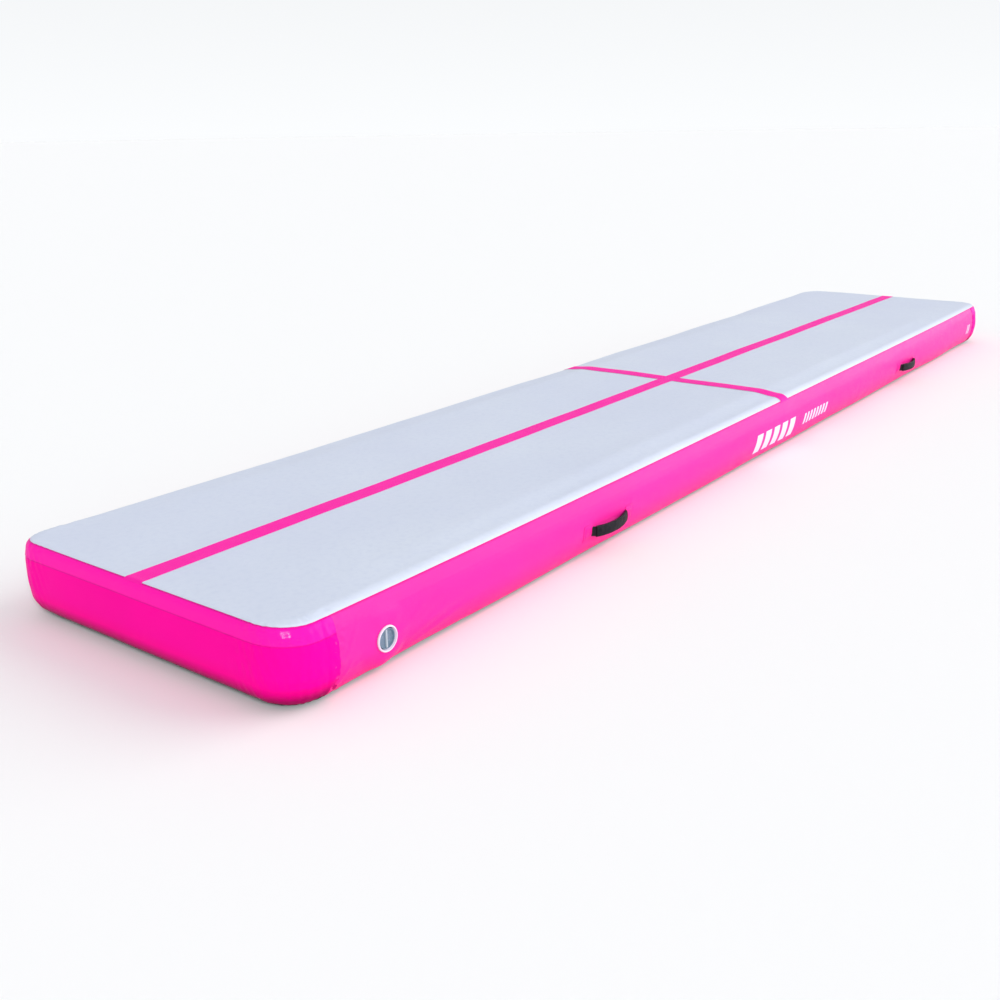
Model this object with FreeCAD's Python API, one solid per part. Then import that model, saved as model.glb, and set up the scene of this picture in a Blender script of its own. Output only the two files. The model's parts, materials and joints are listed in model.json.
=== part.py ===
"""Inflated air track mat: a drop-stitch body with a glued side band, stripes, a valve and four carry handles.

Frame: X along the length, Y across, Z up. The origin is at the middle of the footprint, on the floor.
Units are millimetres. Each node is written to parts/NODE.step.
"""

import FreeCAD, Part
import os
from math import atan2, cos, degrees, hypot, radians, sin, sqrt

Vector = FreeCAD.Vector

# ---- driving dimensions -------------------------------------------------------------------------
LENGTH = 5000.0
WIDTH = 1000.0  # over the bulging side walls
HEIGHT = 200.0  # over the stripes
CORNER_R = 110.0  # plan radius of the outside corners at mid-height

BULGE_R = 160.0  # side wall, which air pressure rounds outwards
CROWN_R = 36.0  # turn from the side wall into the deck
HEEL_R = 46.0  # turn from the side wall into the base

STRIPE_T = 0.6
PANEL_T = 1.0  # deck panel, base panel and outer side band
FABRIC_T = 0.9  # drop-stitch layers and inner side wall
TAPE_T = 0.6
GLUE = 0.3  # glue line between two layers

DECK_EDGE_DEG = 40.0  # where the deck panel stops on the crown turn
BASE_EDGE_DEG = -60.0  # where the base panel stops on the heel turn
CORE_EDGE = -75.0  # edge of the drop-stitch layers, measured from the side's furthest point
TAPE_EDGES = (-97.0, -61.0)
BUTT_GAP = 0.4

THREAD_SIDE = 4.0  # one bundle of yarns
THREAD_PITCH_X = 160.0
THREAD_PITCH_Y = 120.0
THREAD_COLUMNS = 29
THREAD_ROWS = 7

CENTRE_STRIPE_W = 58.0
CROSS_STRIPE_W = 60.0
CROSS_STRIPE_X = -40.0  # a little nearer the valve's end than the middle

BAND_SEAM_X = 2350.0  # where each end band's arms stop on the long sides
BAND_LAP = 26.0  # how far the arms lap over the long bands

VALVE_X = -2209.0
VALVE_Z = 86.5
VALVE_BASE = WIDTH / 2 + 1.3  # distance of the flange's back from the middle plane
# Pairs and single heights below are measured along the valve's axis, outwards from the flange's back.
FLANGE_R = 31.0
FLANGE_T = 5.0
NECK_R = 28.5
LOWER_NECK_R = 24.0
NECK_STEP = -29.0
NECK_END = -46.0
SOCKET_R = 25.5  # for the cap
SOCKET_FLOOR = -10.0
BORE_R = 19.0
SHELF_R = 13.5  # hole in the shelf that the seal closes
SHELF = (-33.0, -29.0)
SKIRT_R = 20.5
NUT_R = 34.0
NUT_BARREL_R = 31.5
NUT_FRONT = -11.0
NUT_LENGTH = 16.0
CAP_R = 25.1
CAP_FACE = 3.0
CAP_BACK = -5.0
CAP_DISH = 6.4
GRIP_BAR_W = 5.4
GRIP_BAR_DROP = 2.0  # from the cap's rim down to the top of its grip bar
O_RING_R = 1.2
O_RING_AXIAL = -2.4
BUTTON = (-11.5, -7.0)
WASHER = (-12.4, -11.6)
SPRING = (-24.0, -12.5)
STEM_R = 2.5
SEAL = (-36.0, -33.3)

HANDLE_X = 1288.0
HANDLE_SPAN = 176.0
HANDLE_TOP_Z = 94.0
STRAP_W = 28.0
STRAP_T = 2.5
HANDLE_REACH = 17.0  # how far the strap's middle stands off its ends
HANDLE_DROOP = 2.5  # how far the strap's middle hangs below its ends
STRAP_STAND = 4.6  # how far the strap's ends stand off the side's furthest point
GRIP_LENGTH = 162.0
GRIP_PAD = 2.8  # padding round the strap
SLEEVE_ROOM = 0.15
TAIL_LENGTH = 30.0
PATCH_MARGIN = 9.0

# ---- derived places -----------------------------------------------------------------------------
BODY_H = HEIGHT - STRIPE_T - GLUE / 3
MID_Z = BODY_H / 2
INNER_D = PANEL_T + GLUE
TAPE_D = INNER_D + FABRIC_T + GLUE
CENTRE_X = LENGTH / 2 - CORNER_R
CENTRE_Y = WIDTH / 2 - CORNER_R

CROWN_RISE = BODY_H - CROWN_R - MID_Z
CROWN_OUT = sqrt((BULGE_R - CROWN_R) ** 2 - CROWN_RISE**2)
CROWN_U = CROWN_OUT - BULGE_R
CROWN_DEG = degrees(atan2(CROWN_RISE, CROWN_OUT))
HEEL_DROP = MID_Z - HEEL_R
HEEL_OUT = sqrt((BULGE_R - HEEL_R) ** 2 - HEEL_DROP**2)
HEEL_U = HEEL_OUT - BULGE_R
HEEL_DEG = -degrees(atan2(HEEL_DROP, HEEL_OUT))

TOP, CROWN, BULGE, HEEL, BOTTOM = range(5)
ARCS = {
    CROWN: (CROWN_U, BODY_H - CROWN_R, CROWN_R),
    BULGE: (-BULGE_R, MID_Z, BULGE_R),
    HEEL: (HEEL_U, HEEL_R, HEEL_R),
}
LIMITS = {
    TOP: (None, CROWN_U),
    CROWN: (90.0, CROWN_DEG),
    BULGE: (CROWN_DEG, HEEL_DEG),
    HEEL: (HEEL_DEG, -90.0),
    BOTTOM: (HEEL_U, None),
}
DECK_EDGE = (CROWN, DECK_EDGE_DEG)
BASE_EDGE = (HEEL, BASE_EDGE_DEG)

SIDES = {  # outward azimuth, start and end corner centres
    "near": (270.0, (-CENTRE_X, -CENTRE_Y), (CENTRE_X, -CENTRE_Y)),
    "far": (90.0, (CENTRE_X, CENTRE_Y), (-CENTRE_X, CENTRE_Y)),
    "left": (180.0, (-CENTRE_X, CENTRE_Y), (-CENTRE_X, -CENTRE_Y)),
    "right": (0.0, (CENTRE_X, -CENTRE_Y), (CENTRE_X, CENTRE_Y)),
}


# ---- edge section: a path over the deck, down the side and under the base -------------------------
def section_point(place, depth):
    """A point of the edge section, depth under the outer surface, as (distance from corner centre, 0, z)."""
    element, value = place
    if element == TOP:
        return Vector(value + CORNER_R, 0, BODY_H - depth)
    if element == BOTTOM:
        return Vector(value + CORNER_R, 0, depth)
    out, up, radius = ARCS[element]
    angle = radians(value)
    reach = radius - depth
    return Vector(out + CORNER_R + reach * cos(angle), 0, up + reach * sin(angle))


def section_path(start, end, depth):
    """Edges of the section from one place to another."""
    edges = []
    for element in range(start[0], end[0] + 1):
        first = start[1] if element == start[0] else LIMITS[element][0]
        last = end[1] if element == end[0] else LIMITS[element][1]
        a = section_point((element, first), depth)
        b = section_point((element, last), depth)
        if element in ARCS:
            middle = section_point((element, (first + last) / 2), depth)
            edges.append(Part.Arc(a, middle, b).toShape())
        elif a.distanceToPoint(b) > BUTT_GAP:
            edges.append(Part.makeLine(a, b))
    return edges


def layer_face(start, end, depth, thickness):
    """The cross-section of one layer between two places."""
    outer = section_path(start, end, depth)
    inner = section_path(start, end, depth + thickness)
    caps = [
        Part.makeLine(section_point(place, depth), section_point(place, depth + thickness))
        for place in (start, end)
    ]
    return Part.Face(Part.Wire(Part.__sortEdges__(outer + inner + caps)))


def placed(face, azimuth, centre):
    turned_face = face.copy()
    turned_face.rotate(Vector(0, 0, 0), Vector(0, 0, 1), azimuth)
    turned_face.translate(Vector(centre[0], centre[1], 0))
    return turned_face


def straight(face, side, trim_start=0.0, trim_end=0.0):
    """The face swept along a straight side; positive trims shorten it and negative ones lengthen it."""
    azimuth, a, b = SIDES[side]
    run = Vector(b[0] - a[0], b[1] - a[1], 0)
    along = Vector(run).normalize()
    start = Vector(a[0], a[1], 0) + along * trim_start
    return placed(face, azimuth, (start.x, start.y)).extrude(
        along * (run.Length - trim_start - trim_end)
    )


def corner(face, side):
    """The face swept round the corner at the end of a side, towards the next side."""
    azimuth, _, centre = SIDES[side]
    pivot = Vector(centre[0], centre[1], 0)
    return placed(face, azimuth, centre).revolve(pivot, Vector(0, 0, 1), 90)


def joined(shapes):
    whole = shapes[0].fuse(shapes[1:]).removeSplitter()
    return whole.Solids[0] if len(whole.Solids) == 1 else whole


def all_round(face):
    """The face swept round the whole outline, as a list of solids."""
    return [sweep(face, side) for side in SIDES for sweep in (straight, corner)]


def rounded_plate(edge, low, thickness):
    """A flat plate whose outline lies at edge, measured from the sides' furthest points."""
    x, y, r = LENGTH / 2 + edge, WIDTH / 2 + edge, CORNER_R + edge
    plate = Part.makeBox(2 * x, 2 * y, thickness, Vector(-x, -y, low))
    upright = [e for e in plate.Edges if abs(e.tangentAt(0).z) > 0.99]
    return plate.makeFillet(r, upright)


def side_envelope(depth, x, half_length):
    """The inside of the near side's outer surface, shrunk by depth, over a short length of it."""
    path = section_path((TOP, CORE_EDGE), (BOTTOM, CORE_EDGE), depth)
    ends = [section_point((element, CORE_EDGE), depth) for element in (TOP, BOTTOM)]
    face = Part.Face(Part.Wire(Part.__sortEdges__(path + [Part.makeLine(*ends)])))
    return placed(face, 270.0, (x - half_length, -CENTRE_Y)).extrude(Vector(2 * half_length, 0, 0))


# ---- the valve's own frame: +Z out of the socket, +Y up ------------------------------------------
def at_valve(shape):
    shape.rotate(Vector(0, 0, 0), Vector(1, 0, 0), 90)
    shape.translate(Vector(VALVE_X, -VALVE_BASE, VALVE_Z))
    return shape


def lathe(outline):
    """A closed (radius, height) outline turned about the valve's axis."""
    points = [Vector(r, 0, s) for r, s in outline]
    face = Part.Face(Part.makePolygon(points + points[:1]))
    return face.revolve(Vector(0, 0, 0), Vector(0, 0, 1), 360)


def ring(inner, outer, low, high):
    if inner == 0:
        return Part.makeCylinder(outer, high - low, Vector(0, 0, low))
    return lathe([(inner, low), (outer, low), (outer, high), (inner, high)])


def make_body():
    """The chamber's layers, the stripes on the deck and the bands round the side."""
    nodes = {}
    deck_rim = layer_face((TOP, CROWN_U), DECK_EDGE, 0, PANEL_T)
    base_rim = layer_face(BASE_EDGE, (BOTTOM, HEEL_U), 0, PANEL_T)
    deck_flat = rounded_plate(CROWN_U, BODY_H - PANEL_T, PANEL_T)
    base_flat = rounded_plate(HEEL_U, 0, PANEL_T)
    nodes["deck_panel"] = joined([deck_flat] + all_round(deck_rim))
    nodes["base_panel"] = joined([base_flat] + all_round(base_rim))

    nodes["upper_dropstitch_fabric"] = rounded_plate(
        CORE_EDGE, BODY_H - INNER_D - FABRIC_T, FABRIC_T
    )
    nodes["lower_dropstitch_fabric"] = rounded_plate(CORE_EDGE, INNER_D, FABRIC_T)
    nodes["dropstitch_threads"] = make_threads()

    outer, inner = TAPE_EDGES[1], TAPE_EDGES[0]
    for name, low in (
        ("upper_seam_tape", BODY_H - TAPE_D - TAPE_T),
        ("lower_seam_tape", TAPE_D),
    ):
        nodes[name] = rounded_plate(outer, low, TAPE_T).cut(rounded_plate(inner, low, TAPE_T))

    wall_edge = CORE_EDGE + BUTT_GAP
    wall = layer_face((TOP, wall_edge), (BOTTOM, wall_edge), INNER_D, FABRIC_T)
    nodes["inner_wall_near"] = straight(wall, "near").cut(valve_hole())
    nodes["inner_wall_far"] = straight(wall, "far")
    for side, before in (("left", "far"), ("right", "near")):
        nodes["inner_wall_" + side] = joined(
            [corner(wall, before), straight(wall, side), corner(wall, side)]
        ).cut(wall_ends())
    return nodes


def wall_ends():
    """Thin slots that keep the end walls clear of the long ones."""
    slot = Part.makeBox(BUTT_GAP, WIDTH, HEIGHT, Vector(CENTRE_X, -WIDTH / 2, 0))
    return slot.fuse(slot.translated(Vector(-2 * CENTRE_X - BUTT_GAP, 0, 0)))


def make_threads():
    """Bundles of yarn that hold the two drop-stitch layers parallel."""
    low = INNER_D + FABRIC_T
    height = BODY_H - 2 * low
    bundles = []
    for column in range(THREAD_COLUMNS):
        for row in range(THREAD_ROWS):
            x = (column - (THREAD_COLUMNS - 1) / 2) * THREAD_PITCH_X - THREAD_SIDE / 2
            y = (row - (THREAD_ROWS - 1) / 2) * THREAD_PITCH_Y - THREAD_SIDE / 2
            bundles.append(Part.makeBox(THREAD_SIDE, THREAD_SIDE, height, Vector(x, y, low)))
    return Part.makeCompound(bundles)


def valve_hole():
    return at_valve(ring(0, NECK_R + 0.6, -40, 20))


def make_bands():
    """Two long bands, and two end bands whose arms turn the corners and lap over the long ones."""
    nodes = {}
    start = (CROWN, DECK_EDGE_DEG - degrees(BUTT_GAP / CROWN_R))
    end = (HEEL, BASE_EDGE_DEG + degrees(BUTT_GAP / HEEL_R))
    band = layer_face(start, end, 0, PANEL_T)
    lap = layer_face(start, end, -PANEL_T - GLUE, PANEL_T)
    step = layer_face(start, end, -PANEL_T - GLUE, 2 * PANEL_T + GLUE)
    butt = BAND_SEAM_X + BAND_LAP
    butt_trim = CENTRE_X - butt + BUTT_GAP
    nodes["side_band_near"] = straight(band, "near", butt_trim, butt_trim).cut(valve_hole())
    nodes["side_band_far"] = straight(band, "far", butt_trim, butt_trim)

    spans = (  # each arm's cross-section, and the stretch of x that it takes
        (band, butt, CENTRE_X),
        (step, butt, butt + 2 * PANEL_T),
        (lap, BAND_SEAM_X, butt + PANEL_T),
    )
    for end_name, before, after in (("left", "far", "near"), ("right", "near", "far")):
        arms = []
        for face, low, high in spans:
            arms.append(straight(face, before, CENTRE_X + low, CENTRE_X - high))
            arms.append(straight(face, after, CENTRE_X - high, CENTRE_X + low))
        turn = [corner(band, before), straight(band, end_name), corner(band, end_name)]
        nodes["end_band_" + end_name] = joined(turn + arms)
    return nodes


def make_stripes():
    """The centre stripe, and the cross stripe in two halves that butt against it."""
    nodes = {}
    lift = -STRIPE_T - GLUE / 3
    stripe_end = (CROWN, DECK_EDGE_DEG + 1.0)
    low = BODY_H + GLUE / 3

    def stripe(width, half_run, sides, gap):
        tab = layer_face((TOP, CROWN_U), stripe_end, lift, STRIPE_T)
        pieces = []
        for azimuth, away in sides:
            reach = half_run + CROWN_U - gap
            bar = Part.makeBox(reach, width, STRIPE_T, Vector(gap, -width / 2, low))
            end = tab.translated(Vector(half_run - CORNER_R, -width / 2, 0))
            half = joined([bar, end.extrude(Vector(0, width, 0))])
            half.rotate(Vector(0, 0, 0), Vector(0, 0, 1), azimuth)
            pieces.append(half)
        return joined(pieces) if away else Part.makeCompound(pieces)

    nodes["centre_stripe"] = stripe(
        CENTRE_STRIPE_W, LENGTH / 2, ((0, True), (180, True)), 0.0
    )
    nodes["cross_stripe"] = stripe(
        CROSS_STRIPE_W, WIDTH / 2, ((90, False), (270, False)), CENTRE_STRIPE_W / 2 + BUTT_GAP
    )
    nodes["cross_stripe"].translate(Vector(CROSS_STRIPE_X, 0, 0))
    return nodes


def make_valve():
    """Fixed valve pieces, the spring-loaded plunger and the screw cap."""
    nodes = {}
    edge = 1.4
    nodes["valve_body"] = lathe(
        [
            (SOCKET_R, FLANGE_T),
            (SOCKET_R, SOCKET_FLOOR),
            (BORE_R, SOCKET_FLOOR),
            (BORE_R, SHELF[1]),
            (SHELF_R, SHELF[1]),
            (SHELF_R, SHELF[0]),
            (SKIRT_R, SHELF[0]),
            (SKIRT_R, NECK_END),
            (LOWER_NECK_R, NECK_END),
            (LOWER_NECK_R, NECK_STEP),
            (NECK_R, NECK_STEP),
            (NECK_R, 0),
            (FLANGE_R, 0),
            (FLANGE_R, FLANGE_T - 2 * edge),
            (FLANGE_R - edge, FLANGE_T - edge / 2),
            (FLANGE_R - 3 * edge, FLANGE_T),
        ]
    )
    nodes["valve_nut"] = lathe(
        [
            (NECK_R + 0.15, NUT_FRONT),
            (NUT_R, NUT_FRONT),
            (NUT_R, NUT_FRONT - 4),
            (NUT_BARREL_R, NUT_FRONT - 4),
            (NUT_BARREL_R, NUT_FRONT - NUT_LENGTH),
            (NECK_R + 0.15, NUT_FRONT - NUT_LENGTH),
        ]
    )
    lugs = [
        Part.makeBox(2.8, 5, NUT_LENGTH - 4, Vector(NUT_BARREL_R - 0.5, -2.5, NUT_FRONT - NUT_LENGTH)).rotated(
            Vector(0, 0, 0), Vector(0, 0, 1), 60 * k
        )
        for k in range(6)
    ]
    nodes["valve_nut"] = joined([nodes["valve_nut"]] + lugs)

    spider_ring = ring(SHELF_R + 0.7, BORE_R - 0.2, SHELF[1], SHELF[1] + 4)
    hub = ring(STEM_R + 0.1, 5.5, SHELF[1] - 3, SPRING[0])
    rib = Part.makeBox(10.5, 2.4, 4, Vector(4.6, -1.2, SHELF[1]))
    ribs = [rib.rotated(Vector(0, 0, 0), Vector(0, 0, 1), 90 * k + 45) for k in range(4)]
    nodes["valve_spider"] = joined([spider_ring, hub] + ribs)

    nodes["valve_stem"] = ring(0, STEM_R, SEAL[0] - 3, BUTTON[1] - 1.5)
    nodes["valve_button"] = lathe(
        [
            (0, BUTTON[1] - 1.4),
            (STEM_R + 0.05, BUTTON[1] - 1.4),
            (STEM_R + 0.05, BUTTON[0]),
            (7, BUTTON[0]),
            (7, BUTTON[1] - 1),
            (6, BUTTON[1]),
            (0, BUTTON[1]),
        ]
    )
    nodes["valve_seal"] = ring(STEM_R + 0.05, SHELF_R + 3, *SEAL)
    nodes["seal_retainer"] = ring(STEM_R + 0.05, 6.5, SEAL[0] - 2, SEAL[0])
    nodes["spring_washer"] = ring(STEM_R + 0.1, 6, *WASHER)
    nodes["valve_spring"] = make_spring()

    groove_r = CAP_R - 2 * O_RING_R - 0.1
    groove = (O_RING_AXIAL - O_RING_R - 0.15, O_RING_AXIAL + O_RING_R + 0.15)
    plug = lathe(
        [
            (0, CAP_BACK),
            (CAP_R - 0.8, CAP_BACK),
            (CAP_R - 0.4, groove[0]),
            (groove_r, groove[0]),
            (groove_r, groove[1]),
            (CAP_R, groove[1]),
            (CAP_R, CAP_FACE - 0.6),
            (CAP_R - 0.6, CAP_FACE),
            (0, CAP_FACE),
        ]
    )
    dish = ring(0, CAP_R - 2.6, CAP_FACE - CAP_DISH, CAP_FACE + 1)
    bar_top = CAP_FACE - GRIP_BAR_DROP
    bar = Part.makeBox(
        GRIP_BAR_W, 2 * CAP_R, 2 * CAP_DISH, Vector(-GRIP_BAR_W / 2, -CAP_R, bar_top - 2 * CAP_DISH)
    )
    nodes["valve_cap"] = plug.cut(dish.cut(bar))
    nodes["cap_o_ring"] = Part.makeTorus(
        CAP_R + 0.25 - O_RING_R, O_RING_R, Vector(0, 0, O_RING_AXIAL)
    )
    for shape in nodes.values():
        at_valve(shape)

    blank = at_valve(ring(NECK_R + 0.7, FLANGE_R - 0.5, -12, -0.1))
    nodes["outer_gasket"] = blank.cut(side_envelope(-0.1, VALVE_X, 60))
    blank = at_valve(ring(NECK_R + 0.7, NUT_R - 0.5, NUT_FRONT + 0.1, 0))
    inside = side_envelope(INNER_D + FABRIC_T + 0.1, VALVE_X, 60)
    nodes["inner_gasket"] = blank.common(inside)
    return nodes


def make_spring():
    """The plunger's compression spring."""
    wire_r = 0.45
    mean_r = 4.2
    turns = 5
    length = SPRING[1] - SPRING[0] - 2 * wire_r - 0.1
    helix = Part.makeHelix(length / turns, length, mean_r)
    helix.translate(Vector(0, 0, SPRING[0] + wire_r + 0.05))
    start = helix.Vertexes[0].Point
    section = Part.Wire(Part.makeCircle(wire_r, start, Vector(0, 1, 0)))
    return Part.Wire(helix).makePipeShell([section], True, True)


def arch(half_span, pad):
    """The handle's strap between x = -half_span and half_span, with padding all round it.

    It stands off the near side and hangs: both long edges are arcs over the whole handle's span.
    """
    bow = hypot(HANDLE_REACH, HANDLE_DROOP)
    radius = ((HANDLE_SPAN / 2) ** 2 + bow**2) / (2 * bow)
    share = (radius - sqrt(radius**2 - half_span**2)) / bow

    def edge(z):
        y = -WIDTH / 2 - STRAP_STAND - HANDLE_REACH + pad
        middle = Vector(0, y, z - HANDLE_DROOP)
        ends = [
            middle + Vector(side * half_span, share * HANDLE_REACH, share * HANDLE_DROOP)
            for side in (-1, 1)
        ]
        return Part.Arc(ends[0], middle, ends[1]).toShape()

    face = Part.makeRuledSurface(edge(HANDLE_TOP_Z + pad), edge(HANDLE_TOP_Z - STRAP_W - pad))
    return face.extrude(Vector(0, -STRAP_T - 2 * pad, 0))


def make_handle():
    """One near-side handle about x = 0: moving strap and grip, fixed tails and patches."""
    half = HANDLE_SPAN / 2
    sleeve = arch(GRIP_LENGTH / 2, GRIP_PAD)
    low = HANDLE_TOP_Z - STRAP_W
    tails = []
    patches = []
    for side in (-1, 1):
        x = side * (half + TAIL_LENGTH / 2 + 1)
        tail = wall_piece(x, TAIL_LENGTH, low, HANDLE_TOP_Z, 0.3, 1.6)
        pocket = wall_piece(x, TAIL_LENGTH + 1, low - 0.5, HANDLE_TOP_Z + 0.5, 0.2, 1.9)
        cover = wall_piece(
            x + side * PATCH_MARGIN / 2,
            TAIL_LENGTH + PATCH_MARGIN,
            low - PATCH_MARGIN,
            HANDLE_TOP_Z + PATCH_MARGIN,
            0.3,
            2.9,
        )
        tails.append(tail)
        patches.append(cover.cut(pocket))
    return {
        "strap": arch(half, 0),
        "grip": sleeve.cut(arch(half, SLEEVE_ROOM)),
        "tails": Part.makeCompound(tails),
        "patches": Part.makeCompound(patches),
    }


def wall_piece(x, length, low, high, inner, outer):
    """A sheet that lies on the near side between two heights and two distances off its surface."""
    first, last = (degrees(atan2(z - MID_Z, BULGE_R)) for z in (high, low))
    face = layer_face((BULGE, first), (BULGE, last), -outer, outer - inner)
    placed_face = placed(face, 270.0, (x - length / 2, -CENTRE_Y))
    return placed_face.extrude(Vector(length, 0, 0))


def make_handles():
    """Two handles on the near side, and the same two turned half a turn on the far side."""
    nodes = {}
    for piece, shape in make_handle().items():
        for column, opposite, x in (("left", "right", -HANDLE_X), ("right", "left", HANDLE_X)):
            near = shape.translated(Vector(x, 0, 0))
            nodes[f"handle_near_{column}_{piece}"] = near
            nodes[f"handle_far_{opposite}_{piece}"] = near.rotated(
                Vector(0, 0, 0), Vector(0, 0, 1), 180
            )
    return nodes


def main():
    os.makedirs("parts", exist_ok=True)
    nodes = {**make_body(), **make_bands(), **make_stripes(), **make_valve(), **make_handles()}
    for name, shape in nodes.items():
        if not shape.isValid():
            print("not valid:", name)
        shape.exportStep(f"parts/{name}.step")
        box = shape.BoundBox
        print(
            f"{name}: {len(shape.Solids)} solids, {shape.Volume / 1000:.1f} cm3, "
            f"x {box.XMin:.1f}..{box.XMax:.1f} y {box.YMin:.1f}..{box.YMax:.1f} "
            f"z {box.ZMin:.1f}..{box.ZMax:.1f}"
        )


main()
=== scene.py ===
"""Looks of the inflated air track mat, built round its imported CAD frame.

Metres, Z up, the origin on the floor under the middle of the mat. The mat's skins are sheets laid over one
surface: distance s round the mat and distance v up its edge section, with the small shapes that air pressure
and glued seams give it.
"""

import json
from contextlib import contextmanager
from math import atan2, hypot, pi, radians, sqrt

import bmesh
import bpy
import numpy as np
from mathutils import Matrix, Vector


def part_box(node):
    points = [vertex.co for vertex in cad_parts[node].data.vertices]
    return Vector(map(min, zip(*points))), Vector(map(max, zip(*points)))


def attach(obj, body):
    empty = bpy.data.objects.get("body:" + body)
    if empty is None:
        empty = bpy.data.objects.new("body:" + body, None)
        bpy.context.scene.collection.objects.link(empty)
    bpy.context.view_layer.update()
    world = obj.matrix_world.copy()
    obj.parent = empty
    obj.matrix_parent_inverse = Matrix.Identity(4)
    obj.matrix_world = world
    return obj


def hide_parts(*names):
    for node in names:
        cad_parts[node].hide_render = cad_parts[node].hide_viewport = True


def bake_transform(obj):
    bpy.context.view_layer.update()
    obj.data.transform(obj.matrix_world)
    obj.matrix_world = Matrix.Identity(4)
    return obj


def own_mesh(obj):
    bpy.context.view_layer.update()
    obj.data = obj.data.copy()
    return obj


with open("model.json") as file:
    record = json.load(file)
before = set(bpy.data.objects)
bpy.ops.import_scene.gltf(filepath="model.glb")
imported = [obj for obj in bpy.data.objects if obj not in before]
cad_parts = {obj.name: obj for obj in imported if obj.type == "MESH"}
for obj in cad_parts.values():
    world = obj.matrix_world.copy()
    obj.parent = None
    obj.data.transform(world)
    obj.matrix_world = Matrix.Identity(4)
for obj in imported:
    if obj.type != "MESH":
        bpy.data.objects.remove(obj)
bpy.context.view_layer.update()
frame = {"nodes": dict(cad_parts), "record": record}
NODES = frame["nodes"]

# ---- sizes ----
CORNER_R = 0.110
PANEL_T = 0.001
GLUE = 0.0003
STRIPE_T = 0.0006

SIDE_Y = -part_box("side_band_near")[0].y
END_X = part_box("end_band_right")[1].x
BODY_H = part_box("deck_panel")[1].z
MID_Z = BODY_H / 2
CENTRE_X = END_X - CORNER_R
CENTRE_Y = SIDE_Y - CORNER_R


class Section:
    """Half of the mat's edge section: a bulge, a tighter turn into the deck and another into the base.

    A distance v runs up along it from its furthest point.
    """

    def __init__(self, widest, bulge, crown, heel, deck_edge, base_edge):
        self.widest, self.bulge = widest, bulge
        self.small = (crown, heel)
        rises = (BODY_H - crown - widest, widest - heel)
        self.turns = [atan2(h, sqrt((bulge - r) ** 2 - h**2)) for r, h in zip(self.small, rises)]
        self.stops = [
            -self.run(1, pi / 2) - CORNER_R + self.depth(1),
            -self.run(1, radians(base_edge)),
            0.0,
            self.run(0, radians(deck_edge)),
            self.run(0, pi / 2) + CORNER_R - self.depth(0),
        ]

    def run(self, half, tilt):
        return self.bulge * self.turns[half] + self.small[half] * (tilt - self.turns[half])

    def depth(self, half):
        """How far inside the furthest point the flat deck or base starts."""
        return self.bulge - (self.bulge - self.small[half]) * np.cos(self.turns[half])

    def at(self, v):
        """Outward distance, height and tilt of places along the section."""
        up = v >= 0
        sign = np.where(up, 1.0, -1.0)
        turn = np.where(up, *self.turns)
        small = np.where(up, *self.small)
        first = np.minimum(np.abs(v) / self.bulge, turn)
        second = np.clip((np.abs(v) - self.bulge * turn) / small, 0, pi / 2 - turn)
        flat = np.maximum(np.abs(v) - self.bulge * turn - small * (pi / 2 - turn), 0)
        tilt = first + second
        u = (self.bulge - small) * np.cos(first) + small * np.cos(tilt) - self.bulge - flat
        z = (self.bulge - small) * np.sin(first) + small * np.sin(tilt)
        return u, self.widest + sign * z, sign * tilt


SIDE = Section(MID_Z, bulge=0.160, crown=0.036, heel=0.046, deck_edge=40, base_edge=60)
END = Section(0.110, bulge=0.450, crown=0.018, heel=0.070, deck_edge=68, base_edge=56)
V_INNER_BASE, V_BASE_EDGE, _, V_DECK_EDGE, V_INNER_TOP = SIDE.stops
V_FLAT_TOP = SIDE.run(0, pi / 2)
V_FLAT_BASE = -SIDE.run(1, pi / 2)
NEAR_END_SHARE = 0.32  # of the end's section, where a long side starts
NEAR_END_FADE = 0.5

SHOULDER_DROP = 0.009  # the deck sinks towards the middle of its long edges
SHOULDER_FADE = 0.75
SHOULDER_START = -0.14
SHOULDER_END = -0.05
TUCK = 0.006  # band under the deck's and the base's edges
GROOVE = 0.0055  # width of the channel beside each glued edge
TAPE_FOOT = 0.050  # lower edge of the doubled strip below the deck, as a distance up the section

RUN_X = 2 * CENTRE_X
RUN_Y = 2 * CENTRE_Y
TURN = CORNER_R * pi / 2
PERIMETER = 2 * (RUN_X + RUN_Y) + 4 * TURN
CORNERS = np.array(
    [(-CENTRE_X, -CENTRE_Y), (CENTRE_X, -CENTRE_Y), (CENTRE_X, CENTRE_Y), (-CENTRE_X, CENTRE_Y)]
)
SEAM_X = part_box("end_band_right")[0].x
LAP = 0.026

valve_low, valve_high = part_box("valve_body")
VALVE = Vector(
    ((valve_low.x + valve_high.x) / 2, valve_low.y + 0.005, (valve_low.z + valve_high.z) / 2)
)
FLANGE_R = (valve_high.x - valve_low.x) / 2
NECK_HOLE = 0.0291


def smooth(t):
    t = np.clip(t, 0, 1)
    return t * t * (3 - 2 * t)


class Waves:
    """Seeded smooth noise of unit size: a sum of plane waves about one length long."""

    def __init__(self, seed, length, stretch=1.0, count=9):
        rng = np.random.default_rng(seed)
        angle = rng.uniform(0, 2 * pi, count)
        size = 2 * pi / length * rng.uniform(0.6, 1.6, count)
        self.a = size * np.cos(angle) / stretch
        self.b = size * np.sin(angle)
        self.phase = rng.uniform(0, 2 * pi, count)

    def __call__(self, a, b):
        total = 0.0
        for ka, kb, phase in zip(self.a, self.b, self.phase):
            total = total + np.sin(ka * a + kb * b + phase)
        return total / sqrt(len(self.a) / 2)


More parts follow.
